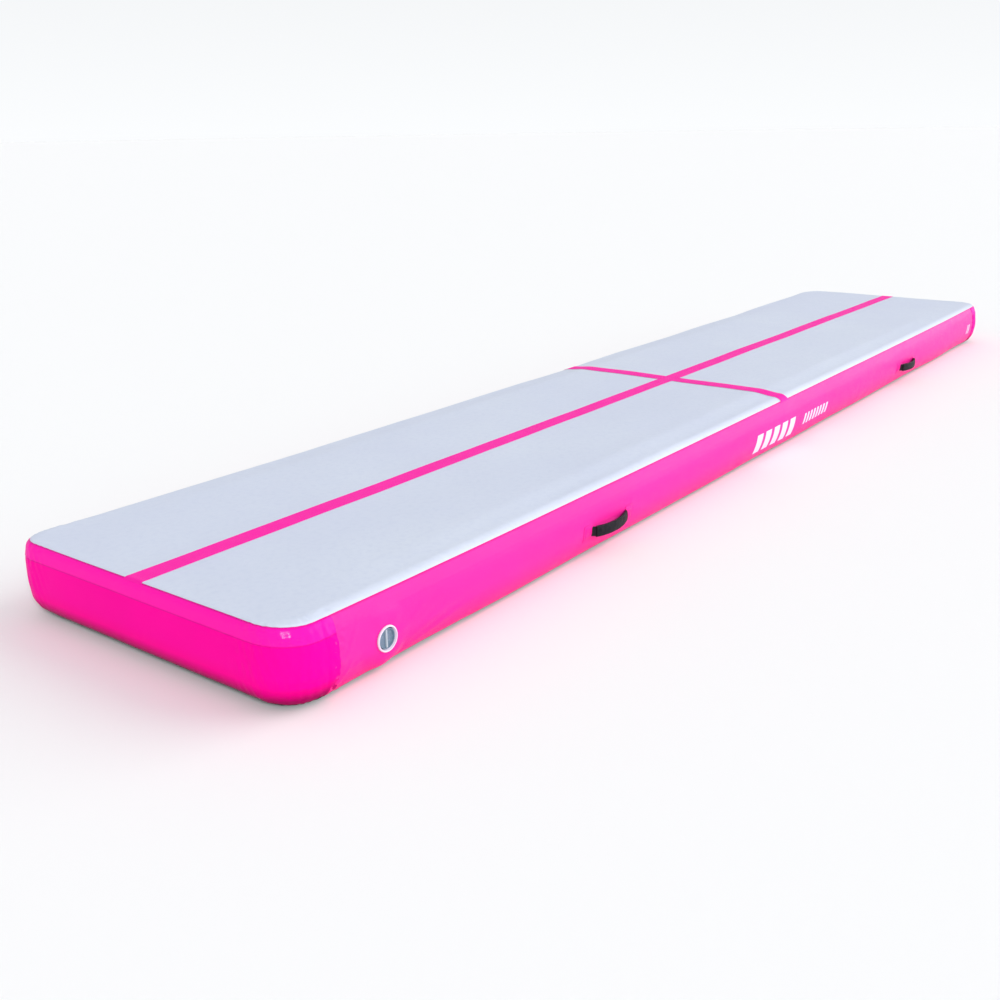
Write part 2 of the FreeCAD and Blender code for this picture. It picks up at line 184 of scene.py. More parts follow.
# ---- the mat's surface ----
def outline(s):
    """Corner centre or side, and outward angle, at distance s round from the near side's left end."""
    s = np.mod(s, PERIMETER)
    centre = np.zeros(s.shape + (2,))
    angle = np.zeros(s.shape)
    begin = 0.0
    for k in range(4):
        run = (RUN_X, RUN_Y)[k % 2]
        here = s >= begin
        t = np.clip((s - begin) / run, 0, 1)[..., None]
        turn = np.clip((s - begin - run) / CORNER_R, 0, pi / 2) + (k - 1) * pi / 2
        centre[here] = (CORNERS[k] + (CORNERS[(k + 1) % 4] - CORNERS[k]) * t)[here]
        angle[here] = turn[here]
        begin += run + TURN
    return centre, angle


def near_s(x):
    """Distance round the mat of a place on the near side."""
    return x + CENTRE_X


def far_s(x):
    return RUN_X + 2 * TURN + RUN_Y + CENTRE_X - x


HANDLE_S = {}
for name in ("near_left", "near_right", "far_left", "far_right"):
    middle = sum(corner.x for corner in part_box(f"handle_{name}_strap")) / 2
    HANDLE_S[name] = near_s(middle) if name.startswith("near") else far_s(middle)
SEAM_S = [near_s(-SEAM_X), near_s(SEAM_X), far_s(SEAM_X), far_s(-SEAM_X)]

long_swell = Waves(11, 0.75)
deck_swell = Waves(12, 0.42)
skin_ripple = Waves(13, 0.085, 1.6)
crown_wander = Waves(14, 0.12)
heel_wander = Waves(15, 0.10)
seam_pucker = Waves(16, 0.017, 2.2)
patch_pull = Waves(17, 0.030, 1.5)
corner_crush = Waves(18, 0.045, 0.7)

# Soft creases: distance round, height along the section, slope, length, width, height of the ridge
BY_VALVE = near_s(VALVE.x)
CREASES = [
    (BY_VALVE + 0.150, -0.028, 0.30, 0.150, 0.010, 0.0010),
    (BY_VALVE + 0.185, -0.052, 0.22, 0.170, 0.008, 0.0011),
    (BY_VALVE + 0.120, 0.018, 0.55, 0.110, 0.009, 0.0006),
    (BY_VALVE + 0.260, -0.040, 0.16, 0.200, 0.012, 0.0007),
    (BY_VALVE - 0.098, 0.022, 1.45, 0.080, 0.006, 0.0012),
    (BY_VALVE - 0.118, -0.045, 1.20, 0.050, 0.006, 0.0010),
    (BY_VALVE - 0.080, -0.040, 0.20, 0.060, 0.005, 0.0009),
    (near_s(-SEAM_X) - 0.018, 0.052, -1.60, 0.050, 0.005, 0.0011),
    (near_s(-SEAM_X) - 0.002, 0.030, -1.20, 0.060, 0.006, 0.0009),
    (-0.080, 0.068, 0.05, 0.110, 0.006, 0.0014),
    (-0.060, 0.054, -0.30, 0.060, 0.005, 0.0010),
    (-0.120, 0.045, 0.35, 0.060, 0.006, 0.0008),
    (-0.070, -0.046, 0.02, 0.130, 0.006, 0.0011),
    (-0.078, -0.062, -0.02, 0.140, 0.006, 0.0012),
    (-0.060, -0.030, 0.05, 0.090, 0.007, 0.0007),
    (-0.150, -0.070, 0.35, 0.080, 0.008, 0.0012),
    (-0.240, 0.040, 0.05, 0.160, 0.007, 0.0007),
    (-0.420, 0.046, -0.04, 0.200, 0.007, 0.0006),
    (-0.330, -0.060, 0.20, 0.140, 0.010, 0.0010),
]


def bump(t):
    return np.exp(-t * t)


def corner_distance(s):
    """Distance along the outline from the nearest corner turn."""
    starts = (RUN_X, RUN_X + TURN + RUN_Y, 2 * RUN_X + 2 * TURN + RUN_Y, PERIMETER - TURN)
    away = [np.abs(wrapped(s, start + TURN / 2)) - TURN / 2 for start in starts]
    return np.maximum(np.min(away, axis=0), 0)


def wrapped(s, place):
    """Signed distance round the mat from a place."""
    return np.mod(s - place + PERIMETER / 2, PERIMETER) - PERIMETER / 2


def end_share(s):
    """1 on the ends and the corners, fading out along the long sides."""
    angle = outline(np.mod(s, PERIMETER))[1]
    on_end = np.cos(angle) ** 2 + bump(corner_distance(s) / 0.05)
    return 0.2 + 0.8 * np.clip(on_end, 0, 1)


def side_relief(s, v):
    """Height of the side's skin over its plain section: swells, puckers and pulls at the seams."""
    height = 0.0007 * long_swell(s, 2 * v) + 0.00012 * skin_ripple(s, v)
    at_corner = bump(corner_distance(s) / 0.060)
    crown = smooth((v - 0.040) / 0.04) * smooth((V_FLAT_TOP + 0.005 - v) / 0.04)
    folds = np.sin(2 * pi * s / 0.026 + 2.6 * crown_wander(s, 0.5 * v)) * crown_wander(v, s)
    height += 0.00014 * at_corner * crown * folds
    heel = smooth((-0.050 - v) / 0.04) * smooth((v - V_FLAT_BASE + 0.004) / 0.03)
    folds = np.sin(2 * pi * s / 0.036 + 2.6 * heel_wander(s, 0.6 * v)) * heel_wander(v, s)
    height += 0.0003 * at_corner * heel * folds
    height += 0.00035 * at_corner * corner_crush(s, v)
    for seam in SEAM_S:
        pull = bump(wrapped(s, seam) / 0.020)
        height += 0.00055 * pull * seam_pucker(s, v)
        height -= 0.0008 * bump(wrapped(s, seam) / 0.011)
    for place in HANDLE_S.values():
        for end in (-0.105, 0.105):
            pull = bump(wrapped(s, place + end) / 0.045) * bump((v + 0.010) / 0.045)
            height += 0.00035 * pull * patch_pull(s, v)
    tape = smooth((v - TAPE_FOOT) / 0.0028) * smooth((V_DECK_EDGE + 0.02 - v) / 0.02)
    height += 0.0011 * tape * end_share(s)
    for place, level, slope, length, width, ridge in CREASES:
        ds, dv = wrapped(s, place), v - level
        c, n = 1 / hypot(1, slope), slope / hypot(1, slope)
        along = (ds * c + dv * n) / (length / 2)
        across = (dv * c - ds * n) / width
        height += ridge * bump(along) * (bump(across) - 0.45 * bump(across - 1.6))
    return height


def side_v(z):
    """Distance up the side's section of a height on its bulge."""
    return SIDE.bulge * np.arcsin((z - MID_Z) / SIDE.bulge)


def valve_pull(s, u, z, tilt, height):
    """The skin is clamped flat at the valve's flange, and creased round it."""
    dx, dz = wrapped(s, BY_VALVE), z - VALVE.z
    r = np.hypot(dx, dz)
    turn = np.arctan2(dz, dx)
    level = -SIDE_Y - (VALVE.y + GLUE + 0.0004) - u
    creases = 0.0006 * np.sin(7 * turn + 1.1 + 0.9 * np.sin(2 * turn)) * bump((r - 0.052) / 0.018)
    hold = smooth((0.085 - r) / 0.050)
    return height * (1 - hold) + level * np.cos(tilt) * hold + creases


def deck_relief(x, y):
    """Slight swells of the deck between its threads."""
    return 0.00045 * deck_swell(x, 1.3 * y)


def relief(s, v, u, z, tilt, x, y):
    """Height of the skin over its plain shape."""
    side = valve_pull(s, u, z, tilt, side_relief(s, v))
    on_side = smooth((V_FLAT_TOP + 0.02 - v) / 0.05) * smooth((v - V_FLAT_BASE) / 0.03)
    on_deck = smooth((v - V_DECK_EDGE + 0.02) / 0.05)
    return side * on_side + deck_relief(x, y) * on_deck


def shoulder_drop(s, u):
    """How far the deck sinks at distance s round, at a place u inside the furthest point."""
    inwards = smooth((u - SHOULDER_START) / (SHOULDER_END - SHOULDER_START))
    return SHOULDER_DROP * (1 - np.exp(-corner_distance(s) / SHOULDER_FADE)) * inwards


def section_at(s, v, angle):
    """The edge section at distance s round: the side's, the end's, or a mix of them."""
    mix = np.cos(angle) ** 2
    mix = mix + (1 - mix) * NEAR_END_SHARE * np.exp(-corner_distance(s) / NEAR_END_FADE)
    side = np.array(SIDE.at(v))
    end = np.array(END.at(np.interp(v, SIDE.stops, END.stops)))
    u, z, tilt = side + (end - side) * mix
    return u, z - shoulder_drop(s, u) * np.sin(angle) ** 2 * smooth(v / V_DECK_EDGE), tilt


def surface(s, v, lift=0.0):
    """Points of the mat's skin, lift metres above it."""
    s, v = np.broadcast_arrays(np.asarray(s, float), np.asarray(v, float))
    centre, angle = outline(s)
    u, z, tilt = section_at(s, v, angle)
    out = np.stack([np.cos(angle), np.sin(angle)], -1)
    plain = centre + out * (u + CORNER_R)[..., None]
    height = lift + relief(s, v, u, z, tilt, plain[..., 0], plain[..., 1])
    place = centre + out * (u + CORNER_R + height * np.cos(tilt))[..., None]
    return np.concatenate([place, (z + height * np.sin(tilt))[..., None]], -1)


def deck_height(x, y):
    """Height of the flat of the deck."""
    s = near_s(np.clip(x, -CENTRE_X, CENTRE_X))
    return BODY_H + deck_relief(x, y) - shoulder_drop(s, np.abs(y) - SIDE_Y)


# ---- meshes ----
def spaced(start, stop, spacing):
    """Places from start to stop, as close together as the function spacing asks."""
    fine = np.linspace(start, stop, 8000)
    count = np.concatenate([[0], np.cumsum(np.diff(fine) / spacing((fine[1:] + fine[:-1]) / 2))])
    steps = max(2, int(round(count[-1])))
    return np.interp(np.linspace(0, count[-1], steps + 1), count, fine)


def widening(distance, close, slope, room, widest=1.0):
    """A spacing that is close up to some room from a place, and grows with the distance past it."""
    return np.minimum(close + slope * np.maximum(distance - room, 0), widest)


def skin_spacing(s):
    """Close where the skin is creased, wide along the plain sides."""
    gaps = [widening(corner_distance(s), 0.0042, 0.10, 0.10, 0.018)]
    gaps += [widening(np.abs(wrapped(s, seam)), 0.0026, 0.12, 0.03) for seam in SEAM_S]
    gaps += [widening(np.abs(wrapped(s, place)), 0.0075, 0.10, 0.14) for place in HANDLE_S.values()]
    gaps.append(widening(np.abs(wrapped(s, BY_VALVE)), 0.0026, 0.05, 0.08))
    return np.min(gaps, axis=0)


def grid_faces(rows, columns, wrap_rows=False, wrap_columns=False):
    i = np.arange(rows if wrap_rows else rows - 1)
    j = np.arange(columns if wrap_columns else columns - 1)
    i, j = np.meshgrid(i, j, indexing="ij")
    i2, j2 = (i + 1) % rows, (j + 1) % columns
    corners = [i * columns + j, i2 * columns + j, i2 * columns + j2, i * columns + j2]
    return np.stack(corners, -1).reshape(-1, 4)


def end_caps(count, size):
    """The two end faces of a tube of size points, with count of them round it."""
    return [list(range(count - 1, -1, -1)), list(range(size - count, size))]


def mesh_object(name, points, faces, uv=None):
    mesh = bpy.data.meshes.new(name)
    points = np.asarray(points).reshape(-1, 3)
    mesh.from_pydata(points.tolist(), [], [list(map(int, f)) for f in faces])
    if uv is not None:
        layer = mesh.uv_layers.new(name="surface")
        corner = np.zeros(len(mesh.loops), np.int32)
        mesh.loops.foreach_get("vertex_index", corner)
        layer.data.foreach_set("uv", np.asarray(uv, np.float32).reshape(-1, 2)[corner].ravel())
    obj = bpy.data.objects.new(name, mesh)
    bpy.context.scene.collection.objects.link(obj)
    return obj


def grids_object(name, grids, uvs=None, flip=False):
    """One object of several grids of points."""
    faces, begin = [], 0
    for grid in grids:
        part = grid_faces(*grid.shape[:2])
        faces.append((part[:, ::-1] if flip else part) + begin)
        begin += grid.shape[0] * grid.shape[1]
    points = np.concatenate([grid.reshape(-1, 3) for grid in grids])
    uv = np.concatenate([part.reshape(-1, 2) for part in uvs]) if uvs else None
    return mesh_object(name, points, np.concatenate(faces), uv)


@contextmanager
def editing(obj):
    """The object's mesh as a bmesh, written back at the end."""
    mesh = bmesh.new()
    mesh.from_mesh(obj.data)
    yield mesh
    mesh.to_mesh(obj.data)
    mesh.free()


def faced_out(obj):
    with editing(obj) as mesh:
        bmesh.ops.recalc_face_normals(mesh, faces=mesh.faces)


def finished(obj, modifiers=(), sharp_angle=35):
    """Applies the modifiers, and shades the mesh smooth but for its sharp edges."""
    for kind, settings in modifiers:
        modifier = obj.modifiers.new(kind.lower(), kind)
        for key, value in settings.items():
            setattr(modifier, key, value)
    if modifiers:
        bpy.context.view_layer.update()
        evaluated = obj.evaluated_get(bpy.context.evaluated_depsgraph_get())
        mesh = bpy.data.meshes.new_from_object(evaluated)
        obj.modifiers.clear()
        obj.data = mesh
    obj.data.shade_smooth()
    obj.data.set_sharp_from_angle(angle=radians(sharp_angle))
    return obj


def thick(depth, offset=-1.0):
    return ("SOLIDIFY", {"thickness": depth, "offset": offset, "use_even_offset": True})


def dressed(obj, material):
    obj.data.materials.clear()
    obj.data.materials.append(material)


def belong(obj, slot=None, body="mat", stands_for=(), material=None):
    """Gives a new piece its material and its body, and hides the CAD nodes that it stands for."""
    dressed(obj, material or LOOKS[slot])
    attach(obj, body)
    if stands_for:
        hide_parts(*stands_for)
    return obj


def sheet_piece(name, obj, thickness, slot, material=None):
    """Thickens a sheet that stands for the CAD node of that name."""
    finished(obj, [thick(thickness)])
    return belong(obj, slot, stands_for=[name], material=material)


# ---- materials ----
class Look:
    """A Principled material and the procedural nodes that feed it."""

    def __init__(self, name, colour, roughness, **sockets):
        self.material = bpy.data.materials.new(name)
        self.material.use_nodes = True
        self.tree = self.material.node_tree
        self.shader = self.tree.nodes["Principled BSDF"]
        self.colour = (*colour, 1.0)
        self.shader.inputs["Base Color"].default_value = self.colour
        self.shader.inputs["Roughness"].default_value = roughness
        for socket, value in sockets.items():
            self.shader.inputs[socket.replace("_", " ")].default_value = value
        self.height = None

    def node(self, kind, **settings):
        node = self.tree.nodes.new(kind)
        for key, value in settings.items():
            setattr(node, key, value)
        return node

    def link(self, source, target):
        self.tree.links.new(source, target)

    def coordinates(self, scale=(1, 1, 1), uv=False):
        source = self.node("ShaderNodeTexCoord").outputs["UV" if uv else "Object"]
        mapping = self.node("ShaderNodeMapping")
        mapping.inputs["Scale"].default_value = scale
        self.link(source, mapping.inputs["Vector"])
        return mapping.outputs["Vector"]

    def texture(self, kind, output, coordinates, settings=(), **inputs):
        node = self.node(kind, **dict(settings))
        for socket, value in inputs.items():
            node.inputs[socket].default_value = value
        self.link(coordinates, node.inputs["Vector"])
        return node.outputs[output]

    def noise(self, scale, detail, place):
        return self.texture("ShaderNodeTexNoise", "Fac", place, Scale=scale, Detail=detail)

    def cells(self, scale, place):
        return self.texture("ShaderNodeTexVoronoi", "Distance", place, Scale=scale)

    def wave(self, scale, direction, place, distortion=0.0):
        bands = {"wave_type": "BANDS", "bands_direction": direction}
        return self.texture("ShaderNodeTexWave", "Fac", place, bands, Scale=scale, Distortion=distortion)

    def maths(self, operation, a, b=0.5):
        node = self.node("ShaderNodeMath", operation=operation)
        for socket, value in zip(node.inputs, (a, b)):
            if isinstance(value, (int, float)):
                socket.default_value = value
            else:
                self.link(value, socket)
        return node.outputs[0]

    def spread(self, value, low, high, lowest=0.0, highest=1.0):
        node = self.node("ShaderNodeMapRange")
        for socket, amount in zip(list(node.inputs)[1:5], (lowest, highest, low, high)):
            socket.default_value = amount
        self.link(value, node.inputs[0])
        return node.outputs[0]

    def tint(self, value, other, share=1.0):
        """Moves the base colour towards another where value is high."""
        node = self.node("ShaderNodeMix", data_type="RGBA")
        current = self.shader.inputs["Base Color"]
        if current.is_linked:
            self.link(current.links[0].from_socket, node.inputs["A"])
        else:
            node.inputs["A"].default_value = self.colour
        node.inputs["B"].default_value = (*other, 1.0)
        self.link(self.maths("MULTIPLY", value, share), node.inputs["Factor"])
        self.link(node.outputs["Result"], current)
        return self

    def mottle(self, place, scale, other, share=1.0, low=0.4, high=0.8, detail=3.0):
        """Moves the base colour towards another in blotches."""
        return self.tint(self.spread(self.noise(scale, detail, place), 0, 1, low, high), other, share)

    def rough(self, value, low, high):
        self.link(self.spread(value, low, high), self.shader.inputs["Roughness"])
        return self

    def raise_by(self, value, distance, strength=1.0):
        """Adds a bump of that distance, over the ones already there."""
        node = self.node("ShaderNodeBump")
        node.inputs["Distance"].default_value = distance
        node.inputs["Strength"].default_value = strength
        self.link(value, node.inputs["Height"])
        if self.height:
            self.link(self.height, node.inputs["Normal"])
        self.height = node.outputs["Normal"]
        self.link(self.height, self.shader.inputs["Normal"])
        return self


def weave(look, pitch, coordinates):
    """Height of a plain weave of that pitch."""
    across = look.wave(1 / (2 * pitch), "X", coordinates)
    along = look.wave(1 / (2 * pitch), "Y", coordinates)
    return look.maths("ADD", across, along)


def plain_look(
    name, colour, roughness, *mottles, rough=None, weave_of=None, cells=None, grain=None, **sockets
):
    """Blotches, an uneven gloss, and bumps: a weave, cells and a fine grain."""
    look = Look(name, colour, roughness, **sockets)
    place = look.coordinates()
    for mottle in mottles:
        look.mottle(place, *mottle)
    if rough:
        look.rough(look.noise(*rough[:2], place), *rough[2:])
    if weave_of:
        look.raise_by(weave(look, weave_of[0], look.coordinates(uv=weave_of[2])), weave_of[1])
    if cells:
        look.raise_by(look.cells(cells[0], place), cells[1])
    if grain:
        look.raise_by(look.noise(*grain[:2], place), *grain[2:])
    return look.material


def plastic_look(name, colour, roughness, fleck):
    uneven = (160, 3.0, roughness - 0.06, roughness + 0.10)
    flecks = (70, fleck, 0.5, 0.45, 0.75)
    return plain_look(name, colour, roughness, flecks, rough=uneven, grain=(1400, 2.0, 0.00005))


def pink_look(name, colour, roughness, gloss, coat, strip=False):
    """Pink fabric with painted shade: a deeper, darker pink towards its foot and dark lines of painted shade
    along the deck's edge; the end bands also have the doubled strip below the deck, a line of painted shade
    at its lower edge, and more painted shade low down.
    """
    look = Look(name, colour, roughness, Specular_IOR_Level=gloss, Coat_Weight=coat, Coat_Roughness=0.12)
    place = look.coordinates()
    look.mottle(place, 3.1, tuple(0.88 * c for c in colour), 0.6)
    look.rough(look.noise(22, 3.0, place), roughness - 0.06, roughness + 0.10)
    surface_place = look.coordinates(uv=True)
    split = look.node("ShaderNodeSeparateXYZ")
    look.link(surface_place, split.inputs[0])
    height = split.outputs["Y"]
    foot = V_BASE_EDGE
    # Painted shade: a deeper, darker pink down the lower part of the band, and a near-black line of painted
    # shade along its foot.
    look.tint(look.spread(height, 1, 0, foot + 0.01, -0.02), (0.97, 0.0, 0.20), 0.75)
    look.tint(look.spread(height, 1, 0, foot + 0.001, foot + 0.007), (0.25, 0.0, 0.09), 0.9)
    # Lines of painted shade: one in the groove beside the deck's edge.
    painted_shade_lines = [(V_DECK_EDGE - 0.001, 0.005, 0.30)]
    if strip:
        step = (TAPE_FOOT - 0.001, TAPE_FOOT + 0.002)
        look.tint(look.spread(height, 0, 1, *step), (0.99, 0.010, 0.42), 0.7)
        look.link(look.spread(height, coat, STRIP_COAT, *step), look.shader.inputs["Coat Weight"])
        # Painted shade: the end bands darken strongly low down, standing in for the shade under the ends.
        look.tint(look.spread(height, 1, 0, foot + 0.022, foot + 0.060), (0.20, 0.0, 0.06), 0.8)
        # A line of painted shade under the doubled strip's lower edge.
        painted_shade_lines.append((TAPE_FOOT, 0.0022, 0.35))
    # The painted shade colour of these lines: the pink at 0.4 of itself.
    shade = tuple(0.4 * c for c in colour)
    for line, width, share in painted_shade_lines:
        away = look.maths("ABSOLUTE", look.maths("SUBTRACT", height, line))
        look.tint(look.spread(away, 1, 0, 0.25 * width, width), shade, share)
    look.raise_by(weave(look, 0.0014, surface_place), 0.00004)
    look.raise_by(look.noise(130, 2.0, place), 0.00022, 0.7)
    return look.material


def yarn_look(name, colour, roughness, scale, other, share, distance, **sockets):
    """Twisted thread."""
    look = Look(name, colour, roughness, **sockets)
    twist = look.wave(scale, "DIAGONAL", look.coordinates(), 0.4)
    look.tint(twist, other, share)
    look.raise_by(twist, distance)
    return look.material


def steel_look():
    look = Look("spring_steel", (0.62, 0.62, 0.64), 0.28, Metallic=1.0)
    place = look.coordinates(scale=(1, 12, 1))
    look.rough(look.noise(500, 3.0, place), 0.2, 0.4)
    look.tint(look.noise(120, 3.0, place), (0.45, 0.44, 0.44), 0.5)
    return look.material


def woven_look(
    name, colour, roughness, threads, twist, other, share, distance, uneven, blotches=None, **sockets
):
    """Two crossed sets of threads, as (pitch, direction)."""
    look = Look(name, colour, roughness, **sockets)
    place = look.coordinates(uv=True)
    rows, picks = (look.wave(1 / pitch / 2, direction, place, twist) for pitch, direction in threads)
    knit = look.maths("MULTIPLY", rows, picks)
    look.tint(knit, other, share)
    if blotches:
        look.mottle(place, *blotches)
    look.raise_by(knit, distance)
    scale, low, high = uneven
    look.rough(look.noise(scale, 2.0, place), low, high)
    return look.material


PINK = (0.97, 0.002, 0.335)
# Painted light: the long sides' copy of the same pink, lighter than the ends' PINK, standing in for the
# brighter light and reflection those sides catch.
LIT_SIDE_PINK = (0.97, 0.022, 0.345)
STRIP_COAT = 0.14
LOOKS = {
    "deck_pvc": plain_look(
        "deck_coated_fabric", (0.58, 0.625, 0.755), 0.52, (2.3, (0.61, 0.66, 0.77), 1.0, 0.35, 0.75),
        (60, (0.53, 0.58, 0.72), 0.5, 0.45, 0.8, 2.0), rough=(18, 3.0, 0.42, 0.62),
        weave_of=(0.0035, 0.00010, False), cells=(520, 0.00022), grain=(26, 2.0, 0.0012, 0.5),
        Specular_IOR_Level=0.42,
    ),
    "base_pvc": plain_look(
        "base_grip_fabric", (0.030, 0.022, 0.028), 0.9, (5, (0.02, 0.018, 0.02), 0.7),
        rough=(30, 2.0, 0.5, 0.72), cells=(160, 0.0006), Specular_IOR_Level=0.0,
    ),
    "coated_fabric": plain_look(
        "coated_fabric", (0.62, 0.63, 0.66), 0.6, (7, (0.52, 0.53, 0.57), 0.6), grain=(380, 3.0, 0.0003)
    ),
    "yarn": yarn_look(
        "yarn", (0.82, 0.82, 0.78), 0.8, 260, (0.62, 0.62, 0.58), 0.5, 0.0005, Sheen_Weight=0.3
    ),
    "pink_pvc": pink_look("pink_coated_fabric", LIT_SIDE_PINK, 0.34, 0.07, 0.08),
    "pink_stripe": plain_look(
        "pink_stripe", (0.93, 0.006, 0.37), 0.5, (9, (0.84, 0.006, 0.33), 0.5),
        rough=(24, 3.0, 0.44, 0.58), weave_of=(0.0014, 0.00004, True), Specular_IOR_Level=0.10,
    ),
    "valve_plastic": plastic_look("valve_plastic", (0.74, 0.66, 0.78), 0.32, (0.70, 0.58, 0.72)),
    "cap_plastic": plastic_look("cap_plastic", (0.15, 0.22, 0.30), 0.24, (0.12, 0.18, 0.25)),
    "spring_steel": steel_look(),
    "valve_rubber": plain_look(
        "rubber", (0.025, 0.025, 0.028), 0.5, (90, (0.05, 0.05, 0.055), 0.6, 0.5, 0.8),
        grain=(900, 2.0, 0.00006), Specular_IOR_Level=0.4,
    ),
    "webbing": woven_look(
        "woven_webbing", (0.006, 0.006, 0.009), 0.62, ((0.0022, "Y"), (0.0016, "X")), 0.2,
        (0.02, 0.02, 0.026), 0.7, 0.0006, (800, 0.5, 0.75), Specular_IOR_Level=0.25, Sheen_Weight=0.04,
    ),
    "grip_foam": woven_look(
        "padded_sleeve", (0.004, 0.004, 0.008), 0.5, ((0.0013, "DIAGONAL"), (0.0012, "X")), 0.3,
        (0.013, 0.013, 0.019), 0.8, 0.00035, (220, 0.42, 0.66),
        (60, (0.016, 0.016, 0.022), 0.5, 0.5, 0.8), Specular_IOR_Level=0.16, Sheen_Weight=0.02,
    ),
}
PINK_END = pink_look("pink_end_fabric", PINK, 0.32, 0.01, 0.01, strip=True)
# Painted light: the grip bar is a lighter copy of the cap's blue-grey plastic, standing in for the light on
# its raised top.
LIT_GRIP_BAR = plain_look(
    "cap_grip_plastic", (0.44, 0.50, 0.56), 0.3, (90, (0.38, 0.44, 0.50), 0.5, 0.45, 0.75, 2.0)
)
PRINT = plain_look(
    "printed_marks", (0.90, 0.70, 0.84), 0.42, (240, (0.88, 0.52, 0.70), 0.6, 0.62, 0.8),
    rough=(90, 2.0, 0.35, 0.5), Specular_IOR_Level=0.3,
)
THREAD = yarn_look("sewing_thread", (0.030, 0.030, 0.034), 0.5, 900, (0.075, 0.075, 0.085), 0.6, 0.0001)
FLOOR = plain_look(
    "studio_floor", (0.89, 0.89, 0.895), 0.8, grain=(30, 2.0, 0.0003), Specular_IOR_Level=0.1
)

for row in frame["record"]["subparts"]:
    dressed(NODES[row["node"]], LOOKS[row["material_slot"]])


# ---- deck and base ----
def edge_spacing(s):
    return widening(corner_distance(s), 0.0055, 0.06, 0.06, 0.020)


def panel(name, slot, rows, height, up=True):
    """A deck or base panel: rings round its rolled edge, and a grid over the flat inside them."""
    along_x = spaced(-CENTRE_X, CENTRE_X, lambda x: edge_spacing(x + CENTRE_X))
    along_y = spaced(-CENTRE_Y, CENTRE_Y, lambda y: edge_spacing(y + RUN_X + TURN + CENTRE_Y))
    turn = np.linspace(0, TURN, 33)[1:-1]
    parts = []
    begin = 0.0
    for run in (along_x, along_y, along_x, along_y):
        parts += [begin + run - run[0], begin + run[-1] - run[0] + turn]
        begin += run[-1] - run[0] + TURN
    around = np.concatenate(parts)
    ring = surface(around[:, None], rows[None, :])
    x, y = np.meshgrid(along_x, along_y, indexing="ij")
    flat = np.stack([x, y, height(x, y)], -1)
    inner = grid_faces(*x.shape)
    faces = [grid_faces(*ring.shape[:2], wrap_rows=True)]
    faces.append((inner if up else inner[:, ::-1]) + ring.shape[0] * ring.shape[1])
    points = np.concatenate([ring.reshape(-1, 3), flat.reshape(-1, 3)])
    obj = mesh_object(name, points, np.concatenate(faces))
    with editing(obj) as mesh:
        bmesh.ops.remove_doubles(mesh, verts=mesh.verts, dist=2e-5)
        bmesh.ops.recalc_face_normals(mesh, faces=mesh.faces)
        mesh.faces.ensure_lookup_table()
        widest = max(mesh.faces, key=lambda face: face.calc_area())
        if (widest.normal.z > 0) != up:
            bmesh.ops.reverse_faces(mesh, faces=mesh.faces)
    return sheet_piece(name, obj, PANEL_T, slot)


def rows_between(stops, steps):
    """Rows along the section, with so many steps between stops."""
    parts = [np.linspace(a, b, n + 1)[:-1] for a, b, n in zip(stops, stops[1:], steps)]
    return np.concatenate(parts + [[stops[-1]]])


deck_rows = rows_between([V_DECK_EDGE, V_DECK_EDGE + 0.006, V_FLAT_TOP, V_INNER_TOP], [3, 8, 9])
deck = panel("deck_panel", "deck_pvc", deck_rows, deck_height)
base_rows = rows_between([V_BASE_EDGE, V_FLAT_BASE, V_INNER_BASE], [6, 4])
base = panel("base_panel", "base_pvc", base_rows, lambda x, y: 0 * x, up=False)


# ---- bands ----
LAP_LIFT = PANEL_T + GLUE
OVERLAP = LAP - 0.004
band_rows = rows_between(
    [V_BASE_EDGE - TUCK, V_BASE_EDGE + 0.008, 0.045, 0.056, V_DECK_EDGE - 0.008, V_DECK_EDGE + TUCK],
    [10, 34, 6, 6, 12],
)


def band_lift(v, lap):
    """The bands dive under the deck's and the base's edges, also where they lap over each other."""
    top = smooth((v - V_DECK_EDGE + GROOVE) / (0.8 * GROOVE))
    bottom = smooth((V_BASE_EDGE + GROOVE - v) / (0.8 * GROOVE))
    hidden = np.maximum(top, bottom)
    return lap * (1 - hidden) - (LAP_LIFT + 0.0003) * hidden


def with_valve_hole(points, faces):
    """Pulls the mesh inside the neck's hole onto its rim, and drops the faces there."""
    dx, dz = points[:, 0] - VALVE.x, points[:, 2] - VALVE.z
    r = np.hypot(dx, dz)
    inside = (r < NECK_HOLE) & (points[:, 1] < 0)
    scale = np.where(inside, NECK_HOLE / np.maximum(r, 1e-6), 1.0)
    points[:, 0] = VALVE.x + dx * scale
    points[:, 2] = VALVE.z + dz * scale
    return points, faces[~inside[faces].all(axis=1)]


def band(name, start, stop, material=None, laps=False, hole=False):
    """A side or end band; the arms of an end band lap over the long bands."""
    s, v = np.meshgrid(spaced(start, stop, skin_spacing), band_rows, indexing="ij")
    inside = np.minimum(s - start, stop - s)
    lap = LAP_LIFT * (1 - smooth((inside - LAP) / 0.006)) if laps else 0 * s
    points, faces = surface(s, v, band_lift(v, lap)).reshape(-1, 3), grid_faces(*s.shape)
    if hole:
        points, faces = with_valve_hole(points, faces)
    obj = mesh_object(name, points, faces, np.stack([s, v], -1))
    if hole:
        with editing(obj) as mesh:
            loose = [vert for vert in mesh.verts if not vert.link_faces]
            bmesh.ops.delete(mesh, geom=loose, context="VERTS")
    return sheet_piece(name, obj, PANEL_T, "pink_pvc", material)


bands = [
    band("side_band_near", near_s(-SEAM_X - OVERLAP), near_s(SEAM_X + OVERLAP), hole=True),
    band("side_band_far", far_s(SEAM_X + OVERLAP), far_s(-SEAM_X - OVERLAP)),
    band("end_band_right", near_s(SEAM_X), far_s(SEAM_X), PINK_END, laps=True),
    band("end_band_left", far_s(-SEAM_X), near_s(-SEAM_X) + PERIMETER, PINK_END, laps=True),
]


